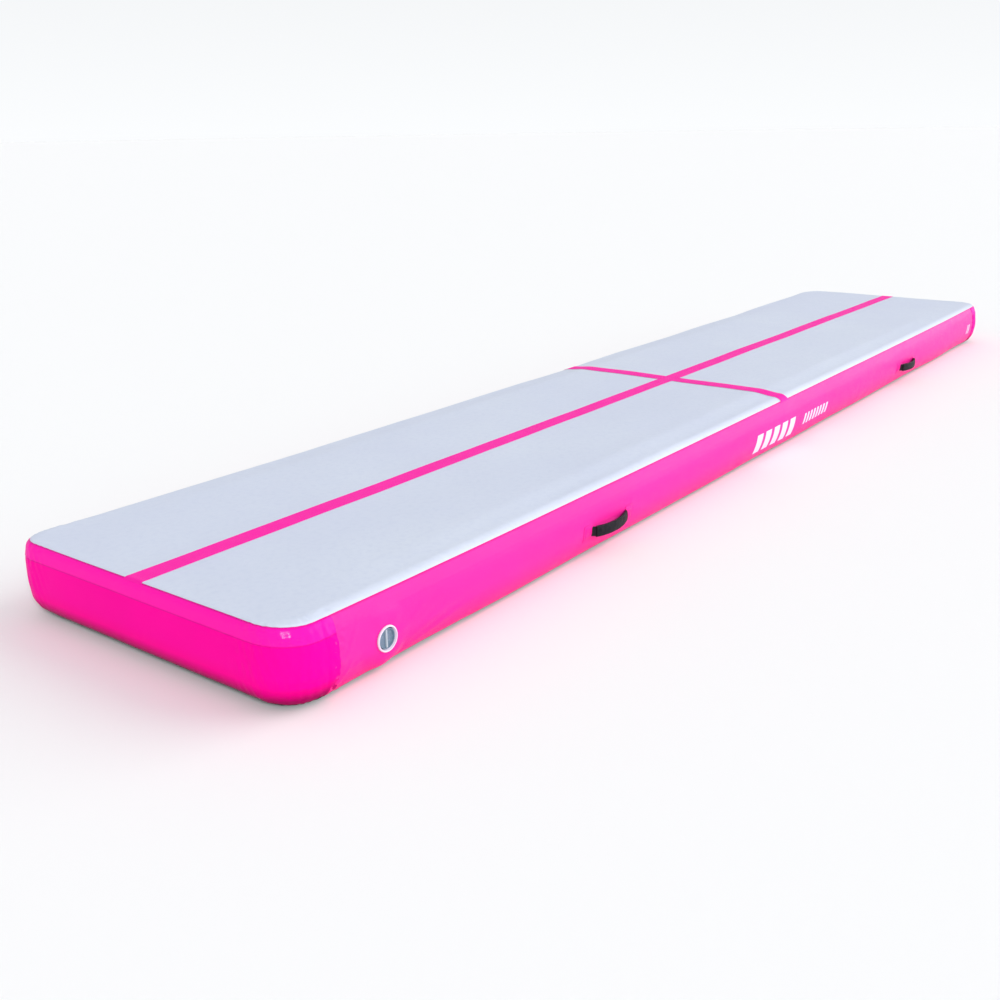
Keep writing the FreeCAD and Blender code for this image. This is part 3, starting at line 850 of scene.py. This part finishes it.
# ---- hidden layers ----
HIDDEN_ROOM = 0.003
CORE_EDGE = -0.075
INNER_D = PANEL_T + GLUE
FABRIC_T = 0.0009
TAPE_T = 0.0006


def hidden_strip(name, start, stop, rows, depth, thickness):
    around = spaced(start, stop, lambda s: widening(corner_distance(s), 0.012, 0.2, 0, 0.06))
    s, v = np.meshgrid(around, rows, indexing="ij")
    obj = grids_object(name, [surface(s, v, -depth - HIDDEN_ROOM)])
    sheet_piece(name, obj, thickness, "coated_fabric")


wall_rows = rows_between(
    [V_FLAT_BASE - 0.02, V_FLAT_BASE, -0.08, 0.085, V_FLAT_TOP, V_FLAT_TOP + 0.021], [3, 5, 12, 6, 3]
)
quarters = {
    "near": (near_s(-CENTRE_X), near_s(CENTRE_X)),
    "right": (near_s(CENTRE_X) + 0.001, far_s(CENTRE_X) - 0.001),
    "far": (far_s(CENTRE_X), far_s(-CENTRE_X)),
    "left": (far_s(-CENTRE_X) + 0.001, near_s(-CENTRE_X) + PERIMETER - 0.001),
}
for side, (first, last) in quarters.items():
    hidden_strip("inner_wall_" + side, first, last, wall_rows, INNER_D, FABRIC_T)


def upper_fabric():
    """The layer that holds the upper ends of the threads."""
    x = np.linspace(-END_X - CORE_EDGE, END_X + CORE_EDGE, 90)
    half = SIDE_Y + CORE_EDGE
    rim = np.linspace(-SIDE_Y - SHOULDER_START, -half, 9)
    y = np.concatenate([np.sort(rim), np.linspace(-0.34, 0.34, 12), np.sort(-rim)])
    x, y = np.meshgrid(x, y, indexing="ij")
    z = deck_height(x, y) - INNER_D - 0.0003
    name = "upper_dropstitch_fabric"
    sheet_piece(name, grids_object(name, [np.stack([x, y, z], -1)]), FABRIC_T, "coated_fabric")


upper_fabric()
tape_rows = np.linspace(V_FLAT_TOP + 0.008, V_FLAT_TOP + 0.043, 6)
hidden_strip("upper_seam_tape", 0, PERIMETER, tape_rows, INNER_D + FABRIC_T + GLUE, TAPE_T)
# ---- stripes ----
STRIPE_GAP = 0.00015
FILLET = 0.006
# Rows of a stripe from the corner centres' line out over the crown, to just below the deck's edge
STRIPE_ROWS = np.concatenate([
    np.linspace(V_INNER_TOP, V_FLAT_TOP, 9)[:-1],
    np.linspace(V_FLAT_TOP, V_DECK_EDGE - 0.0065, 18),
])
STRIPE_RUN = V_INNER_TOP - STRIPE_ROWS
STRIPE_LOW, STRIPE_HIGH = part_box("centre_stripe")
def stripe_lift(v):
    """The stripe lies on the deck, and its end turns down over the deck's edge."""
    over = smooth((V_DECK_EDGE - v + 0.001) / 0.004)
    return STRIPE_T + STRIPE_GAP - 0.0011 * over


def stripe_half_width(half, past_end):
    """Half of the stripe's width, where past_end is the distance left to its rounded end."""
    left = np.clip(past_end, 0, FILLET)
    return half + FILLET - np.sqrt(FILLET**2 - (FILLET - left) ** 2)


def stripe_points(along, half, limit, place_s, flat_point):
    """Points of a stripe; along runs from the middle, and past limit it follows the section's rows."""
    reach = limit + STRIPE_RUN[-1]
    width = stripe_half_width(half, reach - 0.004 - np.abs(along))
    a, b = np.meshgrid(along, np.linspace(-1, 1, 13), indexing="ij")
    b = b * width[:, None]
    past = np.clip(np.abs(a) - limit, 0, None)
    v = V_INNER_TOP - past
    end = surface(place_s(a, b), v, stripe_lift(v))
    return np.where((past > 0)[..., None], end, flat_point(a, b)), np.stack([a, b], -1)


def stripe(name, grids, uvs, flip=False):
    sheet_piece(name, grids_object(name, grids, uvs, flip), STRIPE_T, "pink_stripe")


def on_deck(x, y):
    return np.stack([x, y, deck_height(x, y) + STRIPE_T + STRIPE_GAP], -1)


def centre_stripe():
    over = CENTRE_X + STRIPE_RUN[1:]
    along = np.concatenate([-over[::-1], np.linspace(-CENTRE_X, CENTRE_X, 250), over])

    def place_s(a, b):
        left, right = far_s(-CENTRE_X) + TURN + CENTRE_Y - b, near_s(CENTRE_X) + TURN + CENTRE_Y + b
        return np.where(a < 0, left, right)

    half = (STRIPE_HIGH.y - STRIPE_LOW.y) / 2
    points, uv = stripe_points(along, half, CENTRE_X, place_s, on_deck)
    stripe("centre_stripe", [points], [uv])


def cross_stripe():
    """Two halves, each from the centre stripe's edge out over the deck's long edge."""
    low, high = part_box("cross_stripe")
    half, middle = (high.x - low.x) / 2, (high.x + low.x) / 2
    start = STRIPE_HIGH.y + 0.0004
    along = np.concatenate([np.linspace(start, CENTRE_Y, 30), CENTRE_Y + STRIPE_RUN[1:]])
    halves = [
        stripe_points(along, half, CENTRE_Y, place_s, flat_point)
        for place_s, flat_point in (
            (lambda a, b: near_s(middle + b), lambda a, b: on_deck(middle + b, -a)),
            (lambda a, b: far_s(middle - b), lambda a, b: on_deck(middle - b, a)),
        )
    ]
    stripe("cross_stripe", *zip(*halves), flip=True)


centre_stripe()
cross_stripe()
# ---- handles ----
STRAP_W = 0.028
STRAP_T = 0.0025
STRAP_STAND = 0.0046
TAIL = 0.031  # of the strap, under a patch
TAIL_LIFT = 0.0011
HANDLE_REACH = 0.017
HANDLE_DROOP = 0.0025
SLEEVE_HALF = 0.081
SLEEVE_HIGH = 0.0164  # half of its height
SLEEVE_DEEP = 0.0050  # half of its thickness
HEM = 0.0056  # from the sleeve's end to its stitches
BLEND_FROM = 0.091
BLEND_TO = 0.075
PATCH_HALF_LONG = 0.0205
PATCH_HALF_HIGH = 0.0232
STITCH_PITCH = 0.0033
STITCH_HALF = 0.0012
THREAD_R = 0.00028
sleeve_dent = Waves(21, 0.030, 1.4)


class Handle:
    """One carry handle.

    t runs along it from its middle, and out is the distance from the side's furthest point.
    """

    def __init__(self, name):
        low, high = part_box(f"handle_{name}_strap")
        self.body = "handle_" + name
        self.turn = 1 if name.startswith("near") else -1
        self.x = (low.x + high.x) / 2
        self.half = (high.x - low.x) / 2
        self.top = high.z
        self.s = HANDLE_S[name]

    def share(self, t):
        """0 at the bow's middle and 1 at its ends."""
        bow = hypot(HANDLE_REACH, HANDLE_DROOP)
        radius = (self.half**2 + bow**2) / (2 * bow)
        return (radius - np.sqrt(radius**2 - np.clip(t, -self.half, self.half) ** 2)) / bow

    def bow(self, t):
        """Middle line of the strap: its distance out and the height of its middle."""
        rise = 1 - self.share(t)
        out = STRAP_STAND + STRAP_T / 2 + HANDLE_REACH * rise
        return out, self.top - STRAP_W / 2 - HANDLE_DROOP * rise

    def placed(self, t, out, z):
        """Points in the mat's frame."""
        t, out, z = np.broadcast_arrays(t, out, z)
        return np.stack([self.x + self.turn * t, -self.turn * (SIDE_Y + out), z], -1)

    def on_skin(self, t, z, lift):
        """Points on the mat's side, lift metres above its skin."""
        return surface(self.s + t, side_v(z), lift)


def strap_half(handle, side):
    """Half of the strap: its tail on the mat's side, and its bow up to the handle's middle."""
    on_mat = np.linspace(handle.half + TAIL, BLEND_FROM, 8)[:-1]
    reach = np.concatenate([on_mat, np.linspace(BLEND_FROM, 0.0006, 44)])
    t, e = np.meshgrid(side * reach, np.linspace(-1, 1, 9), indexing="ij")
    rise = smooth((BLEND_FROM + 0.001 - np.abs(t)) / 0.016)
    out, z = handle.bow(t)
    out = out + 0.0004 * (1 - e**2) * rise
    skin = handle.on_skin(t, handle.top - STRAP_W / 2 + e * STRAP_W / 2, TAIL_LIFT)
    free = handle.placed(t, out, z + e * STRAP_W / 2)
    points = skin + (free - skin) * rise[..., None]
    end, node = ("left", "tails") if side < 0 else ("right", "strap")
    uv = np.stack([t, e * STRAP_W / 2], -1)
    obj = grids_object(f"{handle.body}_webbing_{end}", [points], [uv], flip=side > 0)
    bevel = ("BEVEL", {"width": 0.0004, "segments": 2, "angle_limit": radians(60)})
    finished(obj, [thick(STRAP_T * 0.6, 0.0), bevel])
    dressed(obj, LOOKS["webbing"])
    start, stop = (handle.placed(side * t, *handle.bow(side * t)) for t in (BLEND_FROM, BLEND_TO))
    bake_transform(obj)
    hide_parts(f"{handle.body}_{node}")


def sleeve(handle):
    """The padded sleeve sewn round the strap, drawn in at the hems and along the sewn edge."""
    ends = SLEEVE_HALF - np.array([0.0, 0.0004, 0.0012, 0.0024, 0.0042, 0.0052, 0.0060, 0.0072])
    t = np.concatenate([-ends, np.linspace(-ends[-1], ends[-1], 62)[1:-1], ends[::-1]])
    t, turn = np.meshgrid(t, np.linspace(0, 2 * pi, 49)[:-1], indexing="ij")
    from_end = SLEEVE_HALF - np.abs(t)
    rounding = np.sqrt(np.clip(1 - (1 - np.clip(from_end / 0.0022, 0, 1)) ** 2, 0.02, 1))
    hem = 1 - 0.16 * bump((from_end - HEM) / 0.0011)
    full = 0.90 + 0.10 * smooth(from_end / 0.03) + 0.05 * sleeve_dent(t + handle.x, 0.02 * turn)
    c, n = np.cos(turn), np.sin(turn)
    high = SLEEVE_HIGH * np.sign(n) * np.abs(n) ** 0.72 * (0.96 + 0.04 * rounding)
    seam = 1 - 0.45 * bump((n + 1) / 0.10)
    deep = SLEEVE_DEEP * np.sign(c) * np.abs(c) ** 0.62 * rounding * hem * full * seam
    deep = deep + 0.0003 * sleeve_dent(t * 2 + handle.x, high) * rounding
    out, z = handle.bow(t)
    step = 0.0005
    slope = (handle.bow(t + step)[0] - handle.bow(t - step)[0]) / (2 * step)
    length = np.hypot(1, slope)
    points = handle.placed(t - deep * slope / length, out + deep / length, z + high)
    faces = list(grid_faces(*t.shape, wrap_columns=True)) + end_caps(t.shape[1], t.size)
    obj = mesh_object(handle.body + "_sleeve", points, faces, np.stack([t, turn * 0.012], -1))
    faced_out(obj)
    finished(obj, [("SUBSURF", {"levels": 1, "render_levels": 1})], 60)
    belong(obj, "grip_foam", handle.body, [handle.body + "_grip"])
def stitches(handle):
    """Stitches in both hems of the sleeve, on its outer face."""
    points, faces = [], []
    a, b = np.meshgrid(np.linspace(-1, 1, 5), np.linspace(0, 2 * pi, 7)[:-1], indexing="ij")
    tube = grid_faces(*a.shape, wrap_columns=True).tolist() + end_caps(a.shape[1], a.size)
    thread = THREAD_R * np.sqrt(np.clip(1 - a**4, 0.04, 1))
    for t in (-SLEEVE_HALF + HEM, SLEEVE_HALF - HEM):
        out, z = handle.bow(t)
        for k in range(9):
            faces += [[i + len(points) * a.size for i in face] for face in tube]
            height = (k - 4) * STITCH_PITCH
            face_out = out + SLEEVE_DEEP * 0.80 + thread * np.sin(b)
            place = handle.placed(t + thread * np.cos(b), face_out, z + height + a * STITCH_HALF)
            points.append(place.reshape(-1, 3))
    obj = mesh_object(handle.body + "_stitches", np.concatenate(points), faces)
    faced_out(obj)
    obj.data.shade_smooth()
    belong(obj, "webbing", handle.body, material=THREAD)


def patches(handle):
    """Two rounded patches glued over the strap's tails, raised where a tail is under them."""
    a, b = np.meshgrid(np.linspace(-1, 1, 25), np.linspace(-1, 1, 29), indexing="ij")
    pinch = 1 - 0.055 * (a * b) ** 4  # presses the square grid into a rounded rectangle
    grids, uvs = [], []
    for side in (-1, 1):
        t = side * (handle.half - 0.0015 + PATCH_HALF_LONG) + a * PATCH_HALF_LONG * pinch
        z = handle.top - STRAP_W / 2 + b * PATCH_HALF_HIGH * pinch
        over = smooth((handle.half + TAIL + 0.002 - np.abs(t)) / 0.003)
        over = over * smooth((STRAP_W / 2 + 0.003 - np.abs(b * PATCH_HALF_HIGH)) / 0.003)
        grids.append(handle.on_skin(t, z, TAIL_LIFT + 0.0013 * over))
        uvs.append(np.stack([t, z - MID_Z - 0.03], -1))
    obj = finished(grids_object(handle.body + "_patches", grids, uvs), [thick(0.0009)])
    belong(obj, "pink_pvc", stands_for=[handle.body + "_patches"])


for handle in map(Handle, HANDLE_S):
    for side in (-1, 1):
        strap_half(handle, side)
    sleeve(handle)
    stitches(handle)
    patches(handle)
# ---- valve ----
TURNED_STEPS = 96


def turned(name, outline_points, sharp_angle):
    """A closed (radius, distance out) outline turned about the valve's axis."""
    r, out = np.array(outline_points).T
    points = [
        np.stack([VALVE.x + r * np.cos(a), VALVE.y - out, VALVE.z + r * np.sin(a)], -1)
        for a in np.linspace(0, 2 * pi, TURNED_STEPS + 1)[:-1]
    ]
    faces = grid_faces(TURNED_STEPS, len(r), wrap_rows=True, wrap_columns=True)
    obj = mesh_object(name, np.concatenate(points), faces)
    with editing(obj) as mesh:
        bmesh.ops.remove_doubles(mesh, verts=mesh.verts, dist=1e-6)
        bmesh.ops.dissolve_degenerate(mesh, edges=mesh.edges, dist=1e-7)
        bmesh.ops.recalc_face_normals(mesh, faces=mesh.faces)
    return finished(obj, sharp_angle=sharp_angle)
def arc(centre_r, centre_out, radius, start, end, steps=5):
    """Points of a rounded edge of an outline."""
    turns = np.radians(np.linspace(start, end, steps))
    return [(centre_r + radius * np.cos(a), centre_out + radius * np.sin(a)) for a in turns]


CAP_R = 0.0251
CAP_FACE = 0.0018
CAP_BACK = -0.005
SEAL_R = CAP_R - 0.0025  # the o-ring's groove
SEAL_LOW, SEAL_HIGH = -0.00375, -0.00105
RIM_R = 0.0240
POCKET_R = 0.0216
POCKET_FLOOR = -0.0034
EDGE_R = 0.0008
GRIP_BAR_W = 0.0054
GRIP_BAR_TOP = 0.0006

# The moulded body, from its mouth to the end of its neck: radii, and distances out from the skin
MOUTH_R = 0.0272
SOCKET_R, BORE_R, SHELF_R, NECK_BORE_R, BARREL_R, NECK_R = 0.0255, 0.019, 0.0135, 0.0205, 0.024, 0.0285
SOCKET_FLOOR, SHELF_FRONT, SHELF_BACK, NECK_END = -0.010, -0.029, -0.033, -0.046


def valve_cap():
    """The screw cap: a dished disc with a rounded grip bar across it."""
    outline_points = (
        [(0.0, CAP_BACK), (CAP_R - 0.0012, CAP_BACK)]
        + arc(CAP_R - 0.0012, CAP_BACK + 0.0006, 0.0006, -90, 0)
        + [(CAP_R - 0.0006, SEAL_LOW), (SEAL_R, SEAL_LOW), (SEAL_R, SEAL_HIGH), (RIM_R, SEAL_HIGH)]
        + arc(RIM_R - EDGE_R, CAP_FACE - EDGE_R, EDGE_R, 0, 90)
        + arc(POCKET_R + EDGE_R, CAP_FACE - EDGE_R, EDGE_R, 90, 180)
        + arc(POCKET_R - 0.0022, POCKET_FLOOR + 0.0020, 0.0020, 0, -90)
        + [(0.012, POCKET_FLOOR - 0.0002), (0.0, POCKET_FLOOR)]
    )
    cap = turned("valve_cap_disc", outline_points, 30)
    bar = mesh_object(*grip_bar())
    finished(bar, [("BEVEL", {"width": 0.0011, "segments": 4, "limit_method": "ANGLE"})], 40)
    belong(cap, "cap_plastic", "cap", ["valve_cap"])
    belong(bar, "cap_plastic", "cap", material=LIT_GRIP_BAR)


def grip_bar():
    """A bar across the cap's dish, narrower at its waist."""
    along = np.linspace(-POCKET_R - 0.0006, POCKET_R + 0.0006, 13)
    half = GRIP_BAR_W / 2 * (0.86 + 0.14 * (along / POCKET_R) ** 2)
    low, high = POCKET_FLOOR - 0.0008, GRIP_BAR_TOP
    points = []
    for z, w in zip(along, half):
        corners = ((-w, low), (w, low), (w * 0.84, high), (-w * 0.84, high))
        points += [(VALVE.x + x, VALVE.y - out, VALVE.z + z) for x, out in corners]
    faces = grid_faces(len(along), 4, wrap_columns=True).tolist()
    faces += [face[::-1] for face in end_caps(4, len(points))]
    return "valve_cap_grip", points, faces


def valve_body():
    """The moulded body: a rounded flange with a flared mouth, its socket, shelf and threaded neck."""
    outline_points = (
        [(SOCKET_R, -0.0005), (SOCKET_R, SOCKET_FLOOR), (BORE_R, SOCKET_FLOOR), (BORE_R, SHELF_FRONT)]
        + [(SHELF_R, SHELF_FRONT), (SHELF_R, SHELF_BACK), (NECK_BORE_R, SHELF_BACK)]
        + [(NECK_BORE_R, NECK_END), (BARREL_R, NECK_END), (BARREL_R, SHELF_FRONT)]
        + [(NECK_R, SHELF_FRONT), (NECK_R, 0.0), (FLANGE_R - 0.0003, 0.0), (FLANGE_R, 0.0004)]
        + [(FLANGE_R, 0.0022)]
        + arc(FLANGE_R - 0.0026, 0.0024, 0.0026, 0, 80, 7)
        + arc(MOUTH_R + 0.0009, 0.0041, 0.0009, 90, 170, 6)
        + [(MOUTH_R - 0.0004, 0.0020), (0.0258, 0.0006)]
    )
    body = turned("valve_body_shell", outline_points, 35)
    belong(body, "valve_plastic", stands_for=["valve_body"])


def outer_gasket():
    """The ring squeezed between the flange and the skin."""
    inner, outer = NECK_HOLE + 0.0001, FLANGE_R - 0.0006
    low, high, edge = -0.0009, -0.0001, 0.0003
    outline_points = (
        arc(inner + edge, low + edge, edge, 180, 270)
        + arc(outer - edge, low + edge, edge, 270, 360)
        + arc(outer - edge, high - edge, edge, 0, 90)
        + arc(inner + edge, high - edge, edge, 90, 180)
    )
    ring = turned("outer_gasket_ring", outline_points, 60)
    belong(ring, "valve_rubber", stands_for=["outer_gasket"])
def valve_spring():
    """The plunger's spring, which the washer presses on against the spider."""
    node = NODES["valve_spring"]
    spring = bpy.data.objects.new("valve_spring_coil", node.data.copy())
    spring.matrix_world = node.matrix_world.copy()
    bpy.context.scene.collection.objects.link(spring)
    belong(spring, "spring_steel", stands_for=["valve_spring"])
    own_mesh(spring)


valve_body()
valve_cap()
valve_spring()
outer_gasket()


# ---- printed marks ----
PRINT_T = 0.00008
PRINT_LIFT = 0.00022
MARKS = (  # first bar's place, how many, pitch, bar width, foot and head heights, slant
    ("marks_large", -0.298, 5, 0.070, 0.047, (0.041, 0.107), 0.22),
    ("marks_small", 0.108, 8, 0.0305, 0.0165, (0.058, 0.098), 0.30),
    ("marks_end", 2.262, 2, 0.024, 0.011, (0.066, 0.112), 0.20),
)


def printed_bars(name, first, count, pitch, width, heights, slant):
    """A row of plain slanted bars printed on the near side."""
    rise, along = np.meshgrid(np.linspace(0, 1, 11), np.linspace(-0.5, 0.5, 7), indexing="ij")
    z = heights[0] + (heights[1] - heights[0]) * rise
    bars = []
    for k in range(count):
        x = first + k * pitch + along * width + slant * (z - heights[0])
        bars.append(surface(near_s(x), side_v(z), PRINT_LIFT))
    return belong(finished(grids_object(name, bars, flip=True), [thick(PRINT_T)]), material=PRINT)


for row in MARKS:
    printed_bars(*row)


# ---- camera, light and floor ----
CAMERA_AT = Vector((-3.804, -2.029, 1.144))
CAMERA_AZIMUTH = 0.921
CAMERA_DIP = 0.3266
CAMERA_ROLL = -0.0162
LENS = 39.92
SENSOR = 36.0
FLOOR_Z = -0.0004


def add_camera():
    flat = Vector((np.sin(CAMERA_AZIMUTH), np.cos(CAMERA_AZIMUTH), 0))
    forward = flat * np.cos(CAMERA_DIP) - Vector((0, 0, np.sin(CAMERA_DIP)))
    level = forward.cross(Vector((0, 0, 1))).normalized()
    upright = level.cross(forward)
    right = level * np.cos(CAMERA_ROLL) + upright * np.sin(CAMERA_ROLL)
    turned_to = Matrix((right, right.cross(forward), -forward)).transposed().to_4x4()
    data = bpy.data.cameras.new("camera")
    data.lens = LENS
    data.sensor_width = SENSOR
    camera = bpy.data.objects.new("camera", data)
    camera.matrix_world = Matrix.Translation(CAMERA_AT) @ turned_to
    bpy.context.scene.collection.objects.link(camera)
    bpy.context.scene.camera = camera


def add_sun(name, towards, strength, softness):
    data = bpy.data.lights.new(name, "SUN")
    data.energy = strength
    data.angle = radians(softness)
    lamp = bpy.data.objects.new(name, data)
    lamp.rotation_euler = Vector(towards).to_track_quat("Z", "Y").to_euler()
    bpy.context.scene.collection.objects.link(lamp)


def add_floor():
    """A wide round studio floor."""
    turns = np.linspace(0, 2 * pi, 97)[:-1]
    rings = (0.0001, 4.0, 9.0, 20.0, 60.0, 150.0)
    points = np.array([[(r * np.cos(t), r * np.sin(t), 0.0) for r in rings] for t in turns])
    faces = grid_faces(len(turns), len(rings), wrap_rows=True)[:, ::-1]
    floor = mesh_object("studio_floor", points, faces)
    floor.location.z = FLOOR_Z
    floor.data.shade_smooth()
    dressed(floor, FLOOR)


def add_world():
    """Even soft light, brighter towards the horizon."""
    world = bpy.data.worlds.new("studio")
    world.use_nodes = True
    tree = world.node_tree
    background = tree.nodes["Background"]
    background.inputs["Color"].default_value = (0.97, 0.985, 1.0, 1.0)
    place = tree.nodes.new("ShaderNodeTexCoord")
    split = tree.nodes.new("ShaderNodeSeparateXYZ")
    fade = tree.nodes.new("ShaderNodeMapRange")
    for socket, amount in zip(list(fade.inputs)[1:5], (0.0, 0.7, 1.0, 0.62)):
        socket.default_value = amount
    tree.links.new(place.outputs["Generated"], split.inputs[0])
    tree.links.new(split.outputs["Z"], fade.inputs[0])
    tree.links.new(fade.outputs[0], background.inputs["Strength"])
    bpy.context.scene.world = world


add_camera()
add_floor()
add_sun("key", (0.75, -0.55, 0.42), 1.6, 55)
add_sun("front", (-0.45, -0.75, 0.50), 1.4, 12)
add_world()
bpy.context.scene.view_settings.view_transform = "Standard"
